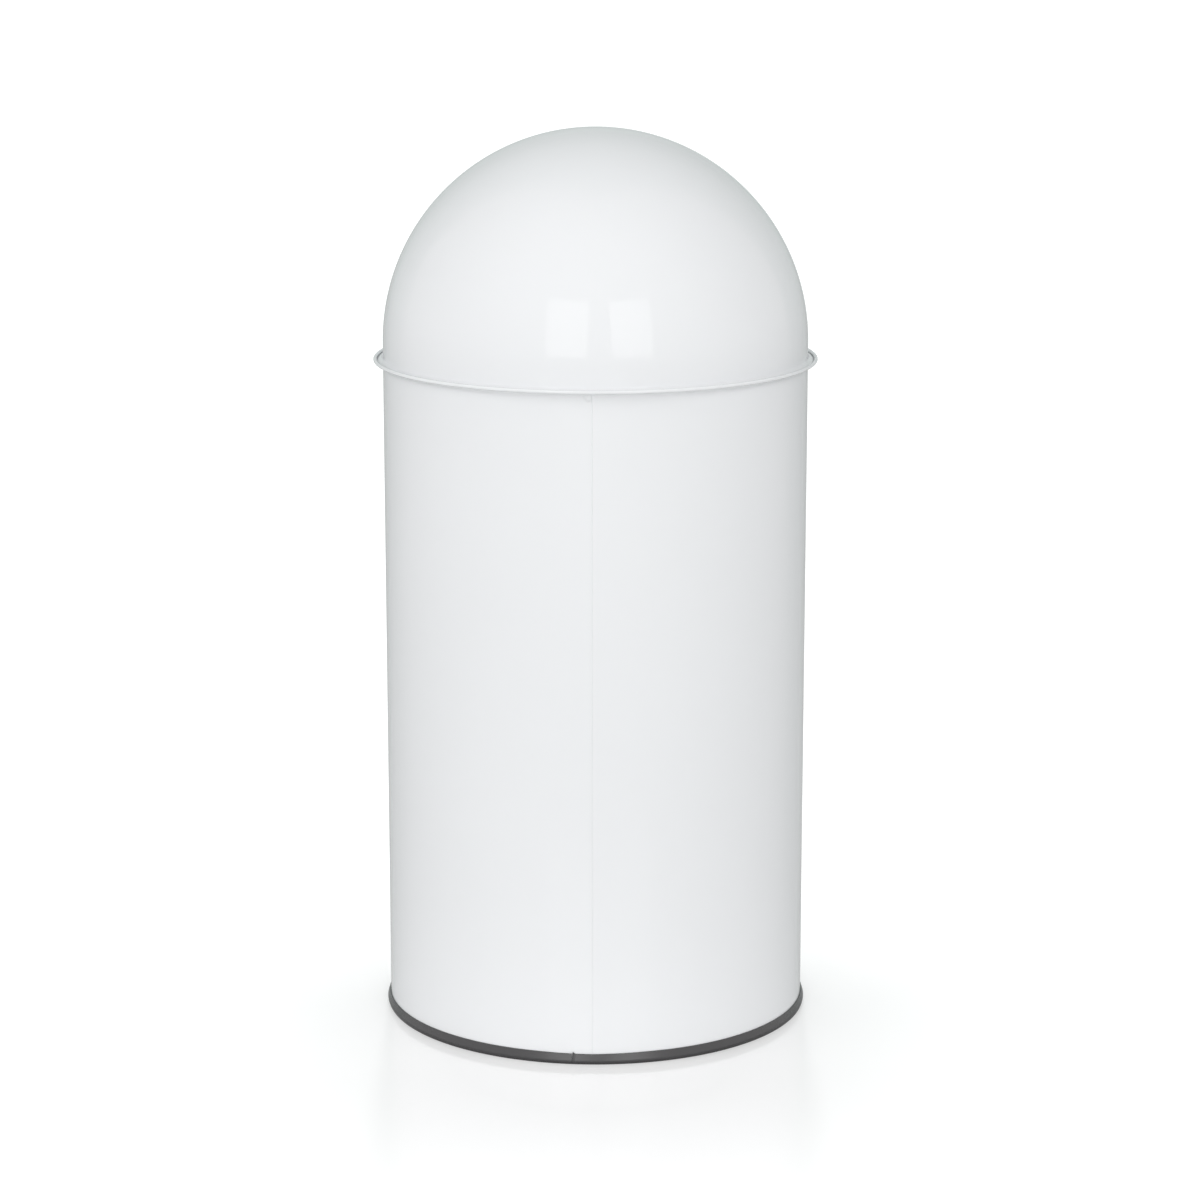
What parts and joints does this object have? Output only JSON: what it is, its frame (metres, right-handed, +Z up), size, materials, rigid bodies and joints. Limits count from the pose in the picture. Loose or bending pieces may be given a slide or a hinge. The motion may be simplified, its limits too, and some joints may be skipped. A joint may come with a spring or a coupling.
{
  "type": "trash can",
  "caption": "Tall round steel bin with a hemispherical lift-off head, a sprung push flap in the head, a dark base ring and a galvanised inner liner with a swinging handle.",
  "frame": {"origin": "middle of the base, on the floor", "axes": "+Z up along the body, -Y the side of the push flap, +Y the seam side that the picture shows, +X to the right seen from the flap side"},
  "size_m": [0.3658, 0.3657, 0.74],
  "materials": {
    "white_coat": "gloss white powder coat on sheet steel",
    "ring_plastic": "satin charcoal moulded strip",
    "bumper_rubber": "soft black rubber",
    "zinc_steel": "bright zinc-plated steel wire",
    "spring_steel": "oiled spring steel",
    "galvanised_sheet": "galvanised sheet with a soft spangle",
    "grip_plastic": "black moulded grip"
  },
  "bodies": {
    "bin": {"body_shell": "white_coat", "bottom_pan": "white_coat", "base_ring": "ring_plastic"},
    "liner": {"liner_shell": "galvanised_sheet", "liner_bottom": "galvanised_sheet", "liner_rim_wire": "zinc_steel", "ear_left": "galvanised_sheet", "ear_right": "galvanised_sheet", "ear_rivets": "zinc_steel"},
    "bail": {"bail_wire": "zinc_steel", "bail_grip": "grip_plastic"},
    "lid": {"dome_shell": "white_coat", "locating_ring": "white_coat", "hinge_bracket_left": "white_coat", "hinge_bracket_right": "white_coat", "hinge_rod": "zinc_steel", "rod_clips": "spring_steel", "return_spring": "spring_steel"},
    "flap": {"push_flap": "white_coat", "flap_strap_left": "white_coat", "flap_strap_right": "white_coat", "flap_bumpers": "bumper_rubber"}
  },
  "joints": [
    {"name": "liner_lift", "type": "slide", "parent": "bin", "child": "liner", "axis": [0, 0, 1], "range_m": [0, 0.52]},
    {"name": "lid_lift", "type": "slide", "parent": "liner", "child": "lid", "axis": [0, 0, 1], "range_m": [0, 0.3]},
    {"name": "flap_push", "type": "hinge", "parent": "lid", "child": "flap", "pos_m": [0, -0.04099, 0.7095], "axis": [1, 0, 0], "range_deg": [0, 65], "stiffness_Nm_per_rad": 0.35, "springref_deg": -68.75, "deforming": ["return_spring"]},
    {"name": "bail_swing", "type": "hinge", "parent": "liner", "child": "bail", "pos_m": [0, 0, 0.509], "axis": [1, 0, 0], "range_deg": [0, 180]}
  ]
}
